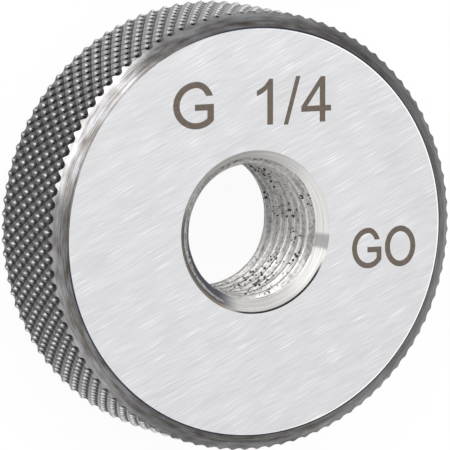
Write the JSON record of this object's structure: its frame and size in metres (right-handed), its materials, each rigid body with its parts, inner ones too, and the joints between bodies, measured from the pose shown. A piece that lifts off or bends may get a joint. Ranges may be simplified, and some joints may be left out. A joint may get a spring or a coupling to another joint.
{
  "type": "thread ring gauge",
  "caption": "Knurled steel ring with a fine internal pipe thread, screwed onto a male thread to check that the thread is not too large.",
  "frame": {"origin": "centre of the plain face that the ring rests on, on the thread's axis", "axes": "+Z along the thread's axis and out of the marked face, +X to the right of the marks as they are read, +Y to their top"},
  "size_m": [0.038, 0.038, 0.012],
  "materials": {
    "gauge_steel": "ground on both faces, turned on the edges, dark satin knurl on the side"
  },
  "bodies": {
    "root": {"ring_gauge": "gauge_steel"}
  },
  "joints": []
}
